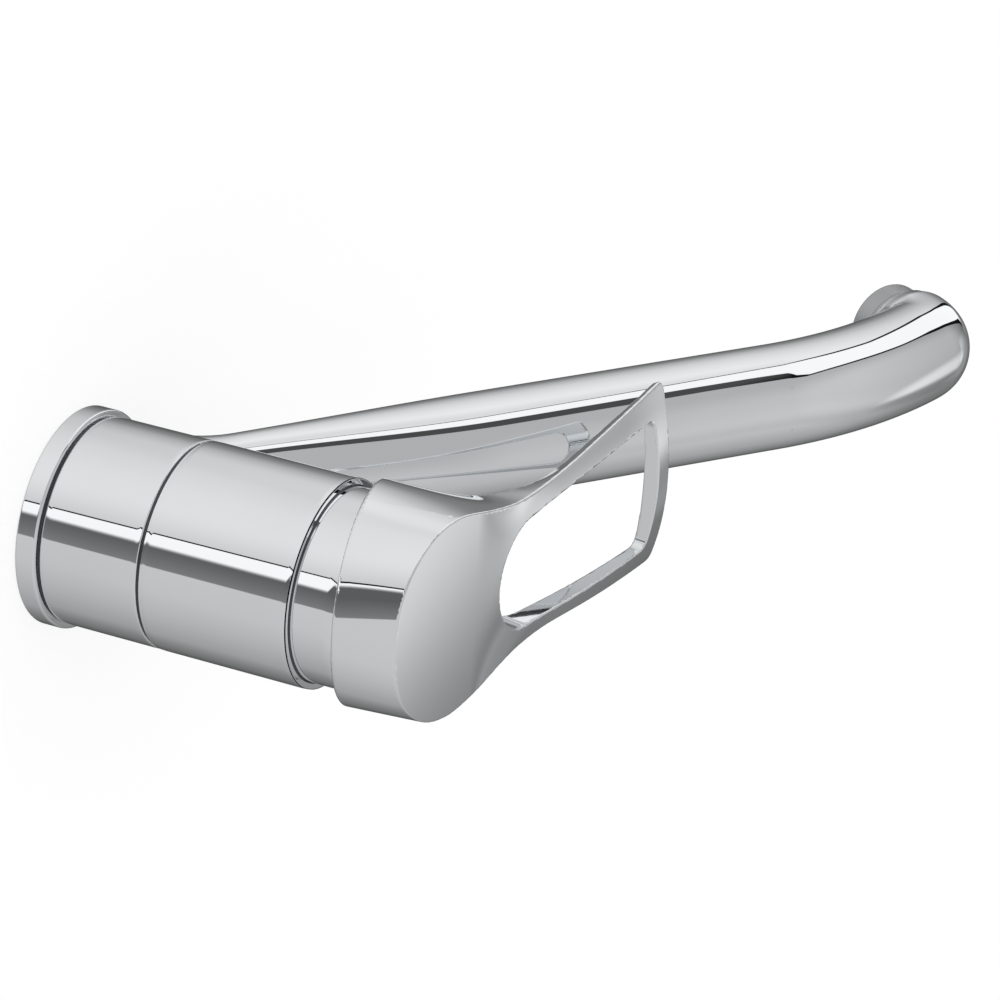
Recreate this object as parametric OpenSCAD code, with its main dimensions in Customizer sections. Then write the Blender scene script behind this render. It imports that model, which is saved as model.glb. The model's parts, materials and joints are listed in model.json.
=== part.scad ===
// Kitchen mixer tap with a swivel spout and an open loop lever.
// The origin is the centre of the underside, +Z runs up the body and +X lies under the spout.

/* [Body] */
// Outside diameter of the body sections
body_d = 50.4; // [48:0.2:56]
// Outside diameter of the base ring
base_d = 53.2; // [52:0.2:60]
// Height of the base ring
base_h = 5.2; // [4.6:0.2:8]
// Height of the swivel section, which carries the spout
swivel_h = 26.4; // [25:0.2:30]
// Height of the fixed section above it
housing_h = 38.4; // [37:0.2:44]
// Diameter of the spindle that the spout turns on
spindle_d = 38; // [36:0.2:39]
// Distance from the outside of the lever's cap in to the outside of the collar
collar_inset = 3.3; // [3:0.1:4.7]
// Height of the collar
collar_h = 9.4; // [8:0.2:10.4]
// Chamfer on the outside edges of the body sections
edge = 0.4; // [0.2:0.1:0.8]
// Open seam above and below the swivel section
seam = 0.5; // [0.3:0.1:0.8]

/* [Spout] */
// Diameter of the spout's tube
tube_d = 27; // [25:0.5:28]
// Angle of the tube above the worktop
spout_rise = 37.3; // [35:0.1:39]
// Height at which the tube's axis would cross the body's axis
spout_axis_z = -0.4; // [-2:0.1:0]
// Length of the straight tube, from the body's axis
straight_l = 191.6; // [150:0.2:240]
// Radius of the long bend at the end of the tube
bend_r = 123; // [100:1:200]
// Angle of the long bend
bend_a = 24.6; // [10:0.2:30]
// Radius of the tight bend into the nozzle
nozzle_bend_r = 7.5; // [7.4:0.1:12]
// Angle of the outlet, forward of straight down
outlet_tilt = 32.9; // [10:0.1:40]
// Half the height of the tube where it leaves the swivel section
root_half_h = 9.8; // [9:0.1:10.4]
// Length over which the tube grows from its low root to its full height
root_l = 110; // [80:1:140]
// Radius of the blend between the swivel section and the tube, seen from above
root_blend_r = 32; // [20:1:40]
// Bore of the waterway
water_d = 19; // [17:0.5:20]
// Bore of the waterway in the low root
root_water_d = 15; // [12:0.5:16]
// Turn of the spout to each side
swivel_a = 75; // [30:5:100]

/* [Aerator] */
// Diameter of the nozzle's rim
nozzle_d = 25.2; // [24.8:0.1:27]
// Length of the nozzle after its bend
nozzle_l = 4.5; // [4.4:0.1:8]
// Thread of the nozzle's spigot
spigot_d = 22; // [21:0.1:22.4]
// Outside diameter of the aerator's housing
aerator_d = 23.6; // [23.2:0.1:25]
// Height of the aerator's housing under the rim
aerator_h = 7; // [6.8:0.1:10]

/* [Lever] */
// Outside diameter of the lever's cap
cap_d = 53.4; // [52.6:0.2:56]
// Wall of the cap
cap_wall = 2.1; // [1.8:0.1:2.3]
// Height of the pivot above the underside of the tap
pivot_z = 78; // [77.6:0.1:78.6]
// Forward tilt of the closed lever
lever_tilt = 9.4; // [8:0.1:11]
// Height of the face above the pivot, along the cap's axis
face_h = 24.8; // [24:0.1:28]
// Rise of the face towards the tip, against the cap
face_rise = 20; // [16:0.5:22]
// Reach of the loop along its face, from the cap's axis
loop_reach = 88.8; // [70:0.5:110]
// Width of the loop at its neck
neck_w = 38; // [36:0.2:42]
// Width of the loop at its tip
tip_w = 45.4; // [40:0.2:52]
// Width of the loop's bars
bar_w = 5; // [4:0.1:6]
// Width of the bar across the tip
tip_bar_w = 4; // [3:0.1:6]
// Start of the loop's opening along the face, from the cap's axis
gap_start = 10.7; // [10:0.1:14]
// Thickness of the loop at the cap
loop_t = 6; // [5:0.1:7]
// Thickness of the loop at the tip
tip_t = 3.6; // [3:0.1:5]
// Radius of the pocket that runs down from the loop's opening into the cap
pocket_r = 14; // [12:0.5:14.5]

/* [Cartridge] */
// Distance from the outside of the lever's cap in to the cartridge
cartridge_inset = 6.7; // [6.5:0.1:7.2]
// Height of the cartridge's seat above the underside of the tap
seat_z = 48; // [47:0.1:48.4]
// Arm of the stem below its pivot
stem_arm = 16; // [15.6:0.1:16.2]
// Side of the stem's square
stem_square = 8; // [7:0.1:8.4]
// Diameter of the pivot pin
pin_d = 3.5; // [3:0.1:4]
// Thickness of each ceramic disc
disc_t = 3; // [2.6:0.1:3.1]

/* [Connections] */
// Tapping bore of the M10 x 1 inlet threads
inlet_d = 9; // [8.8:0.1:9.2]
// Distance of each inlet from the body's axis
inlet_y = 10.5; // [10:0.1:11]
// Depth of the inlet threads
inlet_thread_l = 12; // [10:0.5:16]
// Tapping bore of the M8 stud thread
stud_d = 6.8; // [6.6:0.1:7]
// Depth of the stud thread
stud_l = 14; // [10:0.5:18]

/* [Hidden] */
$fn = 96;

// Clearances
fit = 0.05;
play = 0.3;
over = 1;

// Levels of the body
seam_z = base_h + swivel_h;
top_z = seam_z + housing_h;
spindle_r = spindle_d / 2;
body_r = body_d / 2;
collar_r = cap_d / 2 - collar_inset;

// Slide rings
slide_t = 1.5;
slide_w = 2.9;
upper_slide_w = 1.3;
upper_slide_t = 1.75;

// O-rings of the spout
oring_r = 1;
oring_low_z = base_h + 3.5;
oring_high_z = seam_z - 4.8;
groove_half = 1.3;

// Water port between the spindle and the spout
port_z = base_h + 11.8;
port_r = 3.4;
port_x = 11.5;
channel_half = 3.6;
channel_depth = 1.55;

// Thread of the base ring on the spindle
base_thread_r = spindle_r - 2;
gasket_t = 2;
gasket_r1 = base_thread_r + 3.5;
gasket_r2 = gasket_r1 + 4;

// Stop of the spout's turn
stop_pin_r = 0.9;
stop_r = body_r - 2.4;
stop_depth = 2.2;
stop_a = swivel_a + 1 + asin((stop_pin_r + 0.1) / stop_r);

// Levels of the cartridge
cart_r = cap_d / 2 - cartridge_inset;
seal_r = 0.9;
seal_mid = 4.4;
seal_groove_r = seal_mid + seal_r + 0.1;
plate_t = 3.5;
plate_z = seat_z + plate_t;
disc1_z = plate_z + disc_t;
disc2_z = disc1_z + fit + disc_t + 0.4;
carrier_z = disc2_z + 3.2;
ball_z = pivot_z - stem_arm;
ball_r = 3;
hub_z = ball_z + 1.6;
shoulder_z = top_z - 7;
chamber_r = cart_r - 2.8;
chamber_top = carrier_z + 0.3;
guide_r = 12.93;
neck_r = guide_r + fit + 2.8;
neck_top = pivot_z + 2;
guide_z = hub_z + 0.3;
guide_top = pivot_z + 4;
guide_slot_half = 6.3;
stem_room_r = 9.6;
disc_r = chamber_r - 4.8;
disc_back = stem_arm * sin(lever_tilt);
recess_back = 3;
recess_r = disc_r - 4.4;
nut_r = cart_r + 1;
nut_grip = 3.4;

// Lever
cap_r = cap_d / 2;
rim_drop = 0.45;
boss_r = 9;
boss_z = guide_top - pivot_z + 3.2;
socket_top = face_h - 6.6;
stem_top = socket_top - 0.4;
screw_z = boss_z + 3.4;
screw_r = 2.5;
screw_l = 6;
access_r = 3;
ceiling = face_h - 4.8;
floor_t = 2.5;

// Face of the lever: it rises straight from the cap and then arches along and across
face_bow = 0.00088;
face_crown = 0.0084;
crown_start = 10;
crown_grow = 25;
function ramp(u) = min(max((u - crown_start) / crown_grow, 0), 1);
function face_drop(u, v) =
    -face_bow * pow(max(u - crown_start, 0), 2) - face_crown * ramp(u) * v * v;
face_top = function(u, v) face_drop(u, v);
function loop_thickness(u) =
    loop_t + (tip_t - loop_t) * min(max((u - gap_start) / (loop_reach - gap_start), 0), 1);

// Grids of places on the face: along it over the cap, along it over the loop, and across it
along_cap = concat([-cap_d], [for (u = [8 : 4 : 36]) u]);
along_loop = concat([-cap_d], [for (u = [8 : 4 : 16]) u], [for (u = [20 : 6 : loop_reach + 10]) u]);
across = [for (v = [-30 : 5 : 30]) v];

// Corner rounding: a corner is [x, y, radius]
arc_steps = 8;
function unit(v) = v / norm(v);
function corner(a, b, c) =
    let (p = [b[0], b[1]],
         d1 = unit([a[0], a[1]] - p),
         d2 = unit([c[0], c[1]] - p),
         half = acos(d1 * d2) / 2,
         centre = p + unit(d1 + d2) * b[2] / sin(half),
         t1 = p + d1 * b[2] / tan(half) - centre,
         t2 = p + d2 * b[2] / tan(half) - centre)
    b[2] == 0 ? [p] :
    [for (i = [0 : arc_steps])
        let (w = i / arc_steps, q = 180 - 2 * half)
        centre + (sin(q * (1 - w)) * t1 + sin(q * w) * t2) / sin(q)];
function rounded(list) =
    let (n = len(list))
    [for (i = [0 : n - 1]) each corner(list[(i + n - 1) % n], list[i], list[(i + 1) % n])];

// Half widths of the loop and of its opening at a place along the face
neck_u = 20.2;
function loop_half(u) = neck_w / 2 + (tip_w - neck_w) / 2 * (u - neck_u) / (loop_reach - neck_u);
function gap_half(u) = loop_half(u) - bar_w;
gap_end = loop_reach - tip_bar_w;
neck_blend = 16;
neck_bend = 38.8;
neck_tangent = neck_blend * tan(neck_bend / 2);
blend_u = neck_u - neck_tangent * cos(neck_bend - 3.3);
blend_v = loop_half(neck_u) + neck_tangent * sin(neck_bend - 3.3);
loop_corners = [
    [2, -14, 0], [blend_u, -blend_v, 0], [neck_u, -loop_half(neck_u), neck_blend],
    [loop_reach, -tip_w / 2, 4], [loop_reach, tip_w / 2, 4],
    [neck_u, loop_half(neck_u), neck_blend], [blend_u, blend_v, 0], [2, 14, 0]
];
gap_corners = [
    [gap_start, -gap_half(gap_start), 7], [gap_end, -gap_half(gap_end), 3],
    [gap_end, gap_half(gap_end), 3], [gap_start, gap_half(gap_start), 7]
];

// Tube of the spout
tube_r = tube_d / 2;
blend_sink = 0.15;
blend_ring_r = body_r - blend_sink;
blend_y = tube_r + root_blend_r;
blend_x = sqrt(pow(blend_ring_r + root_blend_r, 2) - blend_y * blend_y);
root_start = blend_x * blend_ring_r / (blend_ring_r + root_blend_r) / cos(spout_rise);
root_rings = 16;
bend_rings = 8;
nozzle_rings = 12;
tube_sides = 36;
function root_half_w(x) =
    x >= blend_x ? tube_r : blend_y - sqrt(max(root_blend_r * root_blend_r - pow(blend_x - x, 2), 0));
function ease(w) = w * w * (3 - 2 * w);
grow_start = 30;
function root_half(s) =
    root_half_h + (tube_r - root_half_h) * ease(min(max((s - grow_start) / (root_l - grow_start), 0), 1));
nozzle_bend_a = spout_rise - bend_a + 90 - outlet_tilt;
fan_half = nozzle_bend_a / 2;
crease_off = (tube_r - nozzle_bend_r) / cos(fan_half);
crease_back = crease_off * sin(fan_half);
crease_gap = 0.4;
tube_taper = (tube_r - nozzle_d / 2) * crease_back / nozzle_l;
// Distance from the crease to the arc of radius r, or to the straight run beside it, at the angle q
function fan_reach(r, q) =
    let (w = fan_half - abs(q), d = r + tube_r - nozzle_bend_r)
    d * tan(w) < crease_back ? d / cos(w) :
    crease_off * cos(q) + sqrt(r * r - pow(crease_off * sin(q), 2));
corner_l = nozzle_bend_r * tan(fan_half);
water_r = water_d / 2;
root_water_r = root_water_d / 2;
nozzle_r = nozzle_d / 2;
spigot_r = spigot_d / 2;
spigot_l = 4.2;
nozzle_bore_r = 8.6;
bore_step = 0.1;
water_start = 34;
aerator_r = aerator_d / 2;
lip = 0.85;
washer_h = 1;
insert_z = spigot_l + washer_h;
insert_r = nozzle_bore_r - 0.2;
insert_up = 5;
mesh_t = 0.6;

// A ring between two radii and two levels, with chamfered outside edges
module ring(r1, r2, z1, z2, c1 = 0, c2 = 0) {
    rotate_extrude()
    polygon([
        [r1, z1], [r2 - c1, z1], [r2, z1 + c1],
        [r2, z2 - c2], [r2 - c2, z2], [r1, z2]
    ]);
}

// A closed strip of triangles around a stack of equal rings of points, with both ends closed
module stack(rings) {
    n = len(rings[0]);
    m = len(rings);
    polyhedron(
        points = [for (r = rings) each r],
        faces = concat(
            [[for (i = [0 : n - 1]) i]],
            [for (k = [0 : m - 2]) for (i = [0 : n - 1])
                let (j = (i + 1) % n)
                each [
                    [k * n + i, (k + 1) * n + i, (k + 1) * n + j],
                    [k * n + i, (k + 1) * n + j, k * n + j]
                ]],
            [[for (i = [n - 1 : -1 : 0]) (m - 1) * n + i]]
        ));
}

// The solid between two height functions over a grid of places
module sheet(us, vs, low, high) {
    n = len(us);
    m = len(vs);
    count = n * m;
    polyhedron(
        points = concat(
            [for (i = [0 : n - 1]) for (j = [0 : m - 1]) [us[i], vs[j], low(us[i], vs[j])]],
            [for (i = [0 : n - 1]) for (j = [0 : m - 1]) [us[i], vs[j], high(us[i], vs[j])]]),
        faces = concat(
            [for (i = [0 : n - 2]) for (j = [0 : m - 2])
                let (a = i * m + j, b = a + 1, c = a + m, d = c + 1)
                each [[a, c, d], [a, d, b]]],
            [for (i = [0 : n - 2]) for (j = [0 : m - 2])
                let (a = count + i * m + j, b = a + 1, c = a + m, d = c + 1)
                each [[a, d, c], [a, b, d]]],
            [for (i = [0 : n - 2])
                let (a = i * m, c = a + m)
                each [[a, count + a, count + c], [a, count + c, c]]],
            [for (i = [0 : n - 2])
                let (a = i * m + m - 1, c = a + m)
                each [[a, count + c, count + a], [a, c, count + c]]],
            [for (j = [0 : m - 2])
                let (a = j, b = j + 1)
                each [[a, b, count + b], [a, count + b, count + a]]],
            [for (j = [0 : m - 2])
                let (a = (n - 1) * m + j, b = a + 1)
                each [[a, count + b, b], [a, count + a, count + b]]]
        ));
}

// Place on the tube's axis, with +X along the tube
module on_tube(s) {
    translate([0, 0, spout_axis_z])
    rotate([0, -spout_rise, 0])
    translate([s, 0, 0])
    children();
}

// A round bar of length l along +X
module bar_x(r, l, r2 = -1) {
    rotate([0, 90, 0])
    cylinder(r1 = r, r2 = r2 < 0 ? r : r2, h = l);
}

// A round tube that leaves the origin along +X and bends down
module bend_down(centre_r, r, a) {
    translate([0, 0, -centre_r])
    rotate([-90, -90, 0])
    rotate_extrude(angle = a)
    translate([centre_r, 0])
    circle(r = r);
}

// Place after a bend
module after_bend(centre_r, a) {
    translate([0, 0, -centre_r])
    rotate([0, a, 0])
    translate([0, 0, centre_r])
    children();
}

// Place at the nozzle's rim, with +Z out of the outlet
module at_rim() {
    on_tube(straight_l)
    after_bend(bend_r, bend_a)
    after_bend(nozzle_bend_r, nozzle_bend_a)
    translate([nozzle_l, 0, 0])
    rotate([0, 90, 0])
    children();
}

// One section of the tube at place p in the tube's plane, turned down by a
function section(p, a, w, top, bottom) =
    [for (i = [0 : tube_sides - 1])
        let (q = 360 * i / tube_sides, h = (sin(q) > 0 ? top : bottom) * sin(q))
        [p[0] + sin(a) * h, w * cos(q), p[1] + cos(a) * h]];

// The whole tube: a low wide root, the straight, the long bend, and the tight bend into the nozzle.
// The sections of the tight bend fan out from the crease inside it.
module tube() {
    root_step = (root_l - root_start) / root_rings;
    long_end = [straight_l + bend_r * sin(bend_a), bend_r * (cos(bend_a) - 1)];
    tight_centre = long_end - nozzle_bend_r * [sin(bend_a), cos(bend_a)];
    crease = tight_centre - crease_off * [sin(bend_a + fan_half), cos(bend_a + fan_half)];
    end_a = bend_a + 2 * fan_half;
    tight_end = tight_centre + nozzle_bend_r * [sin(end_a), cos(end_a)];
    on_tube(0)
    stack(concat(
        [for (k = [0 : root_rings])
            let (x = root_start + k * root_step, h = root_half(x))
            section([x, 0], 0, root_half_w(x * cos(spout_rise)), h, h)],
        [for (k = [0 : bend_rings - 1])
            let (q = bend_a * k / bend_rings)
            section([straight_l + bend_r * sin(q), bend_r * (cos(q) - 1)], q, tube_r, tube_r, tube_r)],
        [for (k = [0 : nozzle_rings])
            let (q = fan_half * (2 * k / nozzle_rings - 1),
                 a = bend_a + fan_half + q,
                 middle = fan_reach(nozzle_bend_r, q),
                 taper = tube_taper * pow(max(q / fan_half, 0), 2))
            section(crease + middle * [sin(a), cos(a)], a, tube_r - taper,
                fan_reach(nozzle_bend_r + tube_r, q) - middle - taper, middle - crease_gap)],
        [section(tight_end + nozzle_l * [cos(end_a), -sin(end_a)], end_a, nozzle_r, nozzle_r, nozzle_r)]));
}

module base_ring() {
    color("silver")
    difference() {
        ring(base_thread_r + fit, base_d / 2, 0, base_h, edge, 2 * edge);
        ring(gasket_r1 - fit, gasket_r2 + fit, -over, gasket_t + fit);
    }
}

module base_gasket() {
    color("dimgray")
    ring(gasket_r1, gasket_r2, 0, gasket_t);
}

// Places of the hot, cold and mixed ports
module at_inlets() {
    for (side = [-1, 1])
        translate([0, side * inlet_y, 0]) children();
}

module main_body() {
    color("silver")
    difference() {
        rotate_extrude()
        polygon([
            [0, 0], [base_thread_r, 0], [base_thread_r, base_h], [spindle_r, base_h],
            [spindle_r, oring_low_z - groove_half], [spindle_r - 2 * oring_r, oring_low_z - groove_half],
            [spindle_r - 2 * oring_r, oring_low_z + groove_half], [spindle_r, oring_low_z + groove_half],
            [spindle_r, oring_high_z - groove_half], [spindle_r - 2 * oring_r, oring_high_z - groove_half],
            [spindle_r - 2 * oring_r, oring_high_z + groove_half], [spindle_r, oring_high_z + groove_half],
            [spindle_r, seam_z], [body_r - edge, seam_z], [body_r, seam_z + edge],
            [body_r, top_z - edge], [body_r - edge, top_z],
            [nut_r + fit, top_z], [nut_r + fit, shoulder_z],
            [cart_r + fit, shoulder_z], [cart_r + fit, seat_z], [0, seat_z]
        ]);
        translate([0, 0, -over]) cylinder(r = stud_d / 2, h = stud_l + over);
        at_inlets() {
            translate([0, 0, -over]) cylinder(r = inlet_d / 2, h = inlet_thread_l + over);
            cylinder(r = inlet_d / 2 - 0.7, h = seat_z + over);
        }
        translate([port_x, 0, port_z]) cylinder(r = port_r, h = seat_z);
        translate([port_x, 0, port_z]) bar_x(port_r, spindle_r);
        translate([-stop_r, 0, seam_z - over]) cylinder(r = stop_pin_r + fit, h = stop_depth + over);
    }
}

module lower_slide_ring() {
    color("whitesmoke")
    ring(spindle_r + 0.1, spindle_r + 0.1 + slide_w, base_h, base_h + slide_t);
}

module upper_slide_ring() {
    color("whitesmoke")
    ring(spindle_r + 0.1, spindle_r + 0.1 + upper_slide_w, seam_z - upper_slide_t, seam_z);
}

module oring(centre_r, section_r, z) {
    translate([0, 0, z])
    rotate_extrude()
    translate([centre_r, 0])
    circle(r = section_r);
}

module spout_orings() {
    color("black") {
        oring(spindle_r - oring_r + 0.02, oring_r, oring_low_z);
        oring(spindle_r - oring_r + 0.02, oring_r, oring_high_z);
    }
}

module swivel_stop_pin() {
    color("gray")
    translate([-stop_r, 0, seam_z - stop_depth + play])
    cylinder(r = stop_pin_r, h = 2 * stop_depth - play - fit);
}

// The spout turns about the spindle, so the housing's cylinder and the base ring's level are cut off it
module spout() {
    color("silver")
    difference() {
        union() {
            ring(spindle_r, body_r, base_h + seam, seam_z - seam, edge, edge);
            difference() {
                tube();
                translate([0, 0, base_h + seam - 2 * body_r]) cylinder(r = 4 * body_r, h = 2 * body_r);
                translate([0, 0, seam_z - seam]) cylinder(r = body_r + 0.4, h = top_z);
            }
            at_rim() translate([0, 0, -over]) cylinder(r = spigot_r, h = spigot_l + over);
        }
        translate([0, 0, -over]) cylinder(r = spindle_r + fit, h = top_z);
        ring(spindle_r, spindle_r + 0.1 + slide_w + play, base_h - over, base_h + slide_t + fit);
        ring(spindle_r, spindle_r + 0.1 + upper_slide_w + 0.2, seam_z - upper_slide_t - fit, seam_z + over);
        ring(spindle_r, spindle_r + channel_depth, port_z - channel_half, port_z + channel_half);
        translate([0, 0, seam_z - seam - stop_depth])
        rotate([0, 0, 180 - stop_a])
        rotate_extrude(angle = 2 * stop_a)
        translate([stop_r - stop_pin_r - 0.2, 0])
        square([2 * stop_pin_r + 0.4, stop_depth + over]);
        translate([spindle_r, 0, port_z]) bar_x(port_r + 0.6, water_start - body_r + 3);
        on_tube(water_start) bar_x(root_water_r, root_l - water_start + over);
        on_tube(root_l) bar_x(water_r, straight_l - root_l);
        on_tube(straight_l) {
            translate([-over, 0, 0]) bend_down(bend_r, water_r - bore_step, bend_a);
            after_bend(bend_r, bend_a) {
                translate([-over, 0, 0]) bar_x(nozzle_bore_r - 2 * bore_step, corner_l + over);
                translate([corner_l, 0, 0]) {
                    sphere(r = nozzle_bore_r + 2 * bore_step);
                    rotate([0, nozzle_bend_a, 0]) bar_x(nozzle_bore_r, corner_l + nozzle_l + spigot_l + over);
                }
            }
        }
    }
}

module aerator_gasket() {
    color("black")
    at_rim() ring(nozzle_bore_r + 0.1, spigot_r - 0.1, spigot_l, insert_z);
}

// Rings of small holes, about one pitch apart
module hole_rings(r, pitch, hole_r, h) {
    cylinder(r = hole_r, h = h, $fn = 16);
    for (k = [1 : floor(r / pitch)])
        for (i = [0 : 6 * k - 1])
            rotate([0, 0, 60 * i / k]) translate([k * pitch, 0, 0]) cylinder(r = hole_r, h = h, $fn = 16);
}

module aerator_insert() {
    color("white")
    at_rim()
    difference() {
        union() {
            ring(0, insert_r, -insert_up, insert_z);
            ring(0, spigot_r - 0.1, insert_z, aerator_h - lip);
            ring(0, spigot_r - 2, aerator_h - lip - fit, aerator_h - 0.2);
        }
        translate([0, 0, -insert_up - over]) cylinder(r = insert_r - 1.6, h = insert_up + insert_z - over);
        translate([0, 0, insert_z - 2 * over]) hole_rings(insert_r - 2, 2.05, 0.7, aerator_h);
    }
}

module aerator_mesh() {
    color("lightgray")
    at_rim()
    translate([0, 0, -insert_up - mesh_t])
    difference() {
        cylinder(r = insert_r, h = mesh_t);
        translate([0, 0, -over]) hole_rings(insert_r - 1.2, 1.75, 0.55, 3);
    }
}

module aerator_housing() {
    color("darkgray")
    at_rim()
    rotate_extrude()
    polygon([
        [spigot_r + fit, play], [aerator_r - edge, play], [aerator_r, play + edge],
        [aerator_r, aerator_h - 2 * edge], [aerator_r - 2 * edge, aerator_h], [spigot_r - 1.8, aerator_h],
        [spigot_r - 1.8, aerator_h - lip], [spigot_r + fit, aerator_h - lip]
    ]);
}

module ports(r_in, r_out, h) {
    at_inlets() cylinder(r = r_in, h = h);
    translate([port_x, 0, 0]) cylinder(r = r_out, h = h);
}

module cartridge_base() {
    color("white")
    difference() {
        ring(0, cart_r - fit, seat_z, plate_z);
        translate([0, 0, seat_z - over]) ports(inlet_d / 2 - 0.7, port_r, plate_z);
        translate([0, 0, seat_z - over]) ports(seal_groove_r, seal_groove_r, over + 2 * seal_r - fit);
    }
}

module port_seals() {
    color("black") {
        at_inlets() oring(seal_mid, seal_r - fit, seat_z + seal_r - fit);
        translate([port_x, 0, 0]) oring(seal_mid, seal_r - fit, seat_z + seal_r - fit);
    }
}

module fixed_disc() {
    color("ivory")
    difference() {
        ring(0, chamber_r - 0.1, plate_z, disc1_z);
        translate([0, 0, plate_z - over]) ports(inlet_d / 2 - 0.9, port_r - 0.2, disc_t + 2 * over);
    }
}

// The chamber holds the discs, and the neck holds the stem guide
module cartridge_shell() {
    color("white")
    rotate_extrude()
    polygon([
        [chamber_r, plate_z], [cart_r - fit, plate_z], [cart_r - fit, shoulder_z],
        [neck_r, shoulder_z], [neck_r, neck_top], [guide_r + fit, neck_top],
        [guide_r + fit, chamber_top], [chamber_r, chamber_top]
    ]);
}

module cartridge_nut() {
    color("goldenrod")
    difference() {
        union() {
            ring(neck_r + 0.2, nut_r, shoulder_z, top_z + 0.4);
            translate([0, 0, top_z + 0.4]) cylinder(r = nut_r, h = nut_grip, $fn = 8);
        }
        translate([0, 0, shoulder_z - over]) cylinder(r = neck_r + 0.2, h = housing_h);
    }
}

module collar() {
    color("silver")
    rotate_extrude()
    polygon([
        [collar_r - 1.6, top_z], [collar_r, top_z], [collar_r, top_z + collar_h - 1.6],
        [collar_r - 0.5, top_z + collar_h - 0.5], [collar_r - 1.6, top_z + collar_h],
        [neck_r + 0.3, top_z + collar_h], [neck_r + 0.3, top_z + collar_h - 1.4],
        [collar_r - 2.4, top_z + collar_h - 1.4], [collar_r - 1.6, top_z + collar_h - 2.4]
    ]);
}

// Place in the tilted frame of the lever, with its origin at the pivot
module lever_frame() {
    translate([0, 0, pivot_z])
    rotate([0, lever_tilt, 0])
    children();
}

// Place on the lever's face
module face_frame() {
    translate([0, 0, face_h])
    rotate([0, -face_rise, 0])
    children();
}

module stem_guide() {
    color("white")
    difference() {
        ring(0, guide_r, guide_z, guide_top);
        translate([0, 0, guide_z - over]) cylinder(r = stem_room_r, h = pivot_z - 6 - guide_z + over);
        translate([-guide_slot_half, -stem_square / 2 - 0.1, guide_z - over])
        cube([2 * guide_slot_half, stem_square + 0.2, guide_top]);
        translate([0, guide_r + over, pivot_z])
        rotate([90, 0, 0])
        cylinder(r = pin_d / 2 + fit, h = 2 * guide_r + 2 * over);
    }
}

module pivot_pin() {
    color("gray")
    translate([0, guide_r - 0.8, pivot_z])
    rotate([90, 0, 0])
    cylinder(r = pin_d / 2, h = 2 * guide_r - 1.6);
}

module stem() {
    color("goldenrod")
    lever_frame()
    difference() {
        union() {
            translate([0, 0, -stem_arm]) sphere(r = ball_r);
            translate([0, 0, -stem_arm]) cylinder(r = 2.4, h = stem_arm);
            translate([-stem_square / 2, -stem_square / 2, -5.2])
            cube([stem_square, stem_square, stem_top + 5.2]);
        }
        translate([0, stem_square, 0])
        rotate([90, 0, 0])
        cylinder(r = pin_d / 2 + fit, h = 2 * stem_square);
    }
}

module disc_frame() {
    translate([-disc_back, 0, 0]) children();
}

module disc_carrier() {
    color("white")
    disc_frame()
    difference() {
        union() {
            ring(0, disc_r, disc2_z, carrier_z);
            ring(0, 5.2, carrier_z - over, hub_z);
        }
        translate([0, 0, disc2_z + 0.6]) cylinder(r = ball_r + 0.12, h = hub_z);
    }
}

module moving_disc() {
    color("ivory")
    disc_frame()
    difference() {
        ring(0, disc_r, disc1_z + fit, disc2_z);
        translate([disc_back + recess_back, 0, disc1_z - over])
        intersection() {
            cylinder(r = recess_r, h = disc_t - 0.2 + over);
            translate([-recess_back, -recess_r, 0]) cube([2 * recess_r, 2 * recess_r, disc_t]);
        }
    }
}

// The pocket under the loop's opening, grown by e
module pocket(e) {
    near_x = gap_start * cos(face_rise);
    near_z = face_h + gap_start * sin(face_rise);
    intersection() {
        face_frame()
        translate([0, 0, -cap_d])
        linear_extrude(2 * cap_d)
        offset_gap(e);
        translate([near_x + pocket_r, 0, near_z]) {
            rotate([90, 0, 0]) cylinder(r = pocket_r + e, h = cap_d, center = true);
            translate([0, -cap_d, -pocket_r - e]) cube([cap_d, 2 * cap_d, cap_d]);
            translate([-pocket_r - e, -cap_d, 0]) cube([cap_d, 2 * cap_d, cap_d]);
        }
    }
}

// The outline of the loop's opening, grown by e and run out past the tip
module offset_gap(e) {
    polygon(rounded([for (c = gap_corners)
        [c[0] + (c[0] < neck_u ? -e : 4 * cap_d), c[1] + sign(c[1]) * e, c[2] + e]]));
}

module lever() {
    color("silver")
    lever_frame()
    difference() {
        union() {
            difference() {
                intersection() {
                    translate([0, 0, -rim_drop]) cylinder(r = cap_r, h = 2 * cap_d);
                    face_frame() sheet(along_cap, across, function(u, v) -2 * cap_d, face_top);
                }
                difference() {
                    translate([0, 0, -rim_drop - over]) cylinder(r = cap_r - cap_wall, h = 2 * cap_d);
                    translate([0, 0, ceiling]) rotate([0, -face_rise, 0])
                    translate([-cap_d, -cap_d, 0]) cube([2 * cap_d, 2 * cap_d, cap_d]);
                    pocket(floor_t);
                    translate([0, 0, boss_z]) cylinder(r = boss_r, h = cap_d);
                }
                pocket(0);
            }
            face_frame()
            intersection() {
                sheet(along_loop, across,
                    function(u, v) face_drop(u, v) - loop_thickness(u), face_top);
                translate([0, 0, -cap_d]) linear_extrude(2 * cap_d) difference() {
                    polygon(rounded(loop_corners));
                    polygon(rounded(gap_corners));
                }
            }
        }
        translate([-stem_square / 2 - fit, -stem_square / 2 - fit, 0])
        cube([stem_square + 2 * fit, stem_square + 2 * fit, socket_top]);
        translate([0, 0, screw_z]) bar_x(screw_r + fit, boss_r + over);
        translate([boss_r, 0, screw_z]) bar_x(access_r, cap_r);
    }
}

module grub_screw() {
    color("dimgray")
    lever_frame()
    translate([stem_square / 2 + fit, 0, screw_z])
    difference() {
        bar_x(screw_r, screw_l);
        translate([screw_l - 2.5, 0, 0]) rotate([0, 90, 0]) cylinder(r = 1.45, h = 3, $fn = 6);
    }
}

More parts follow.
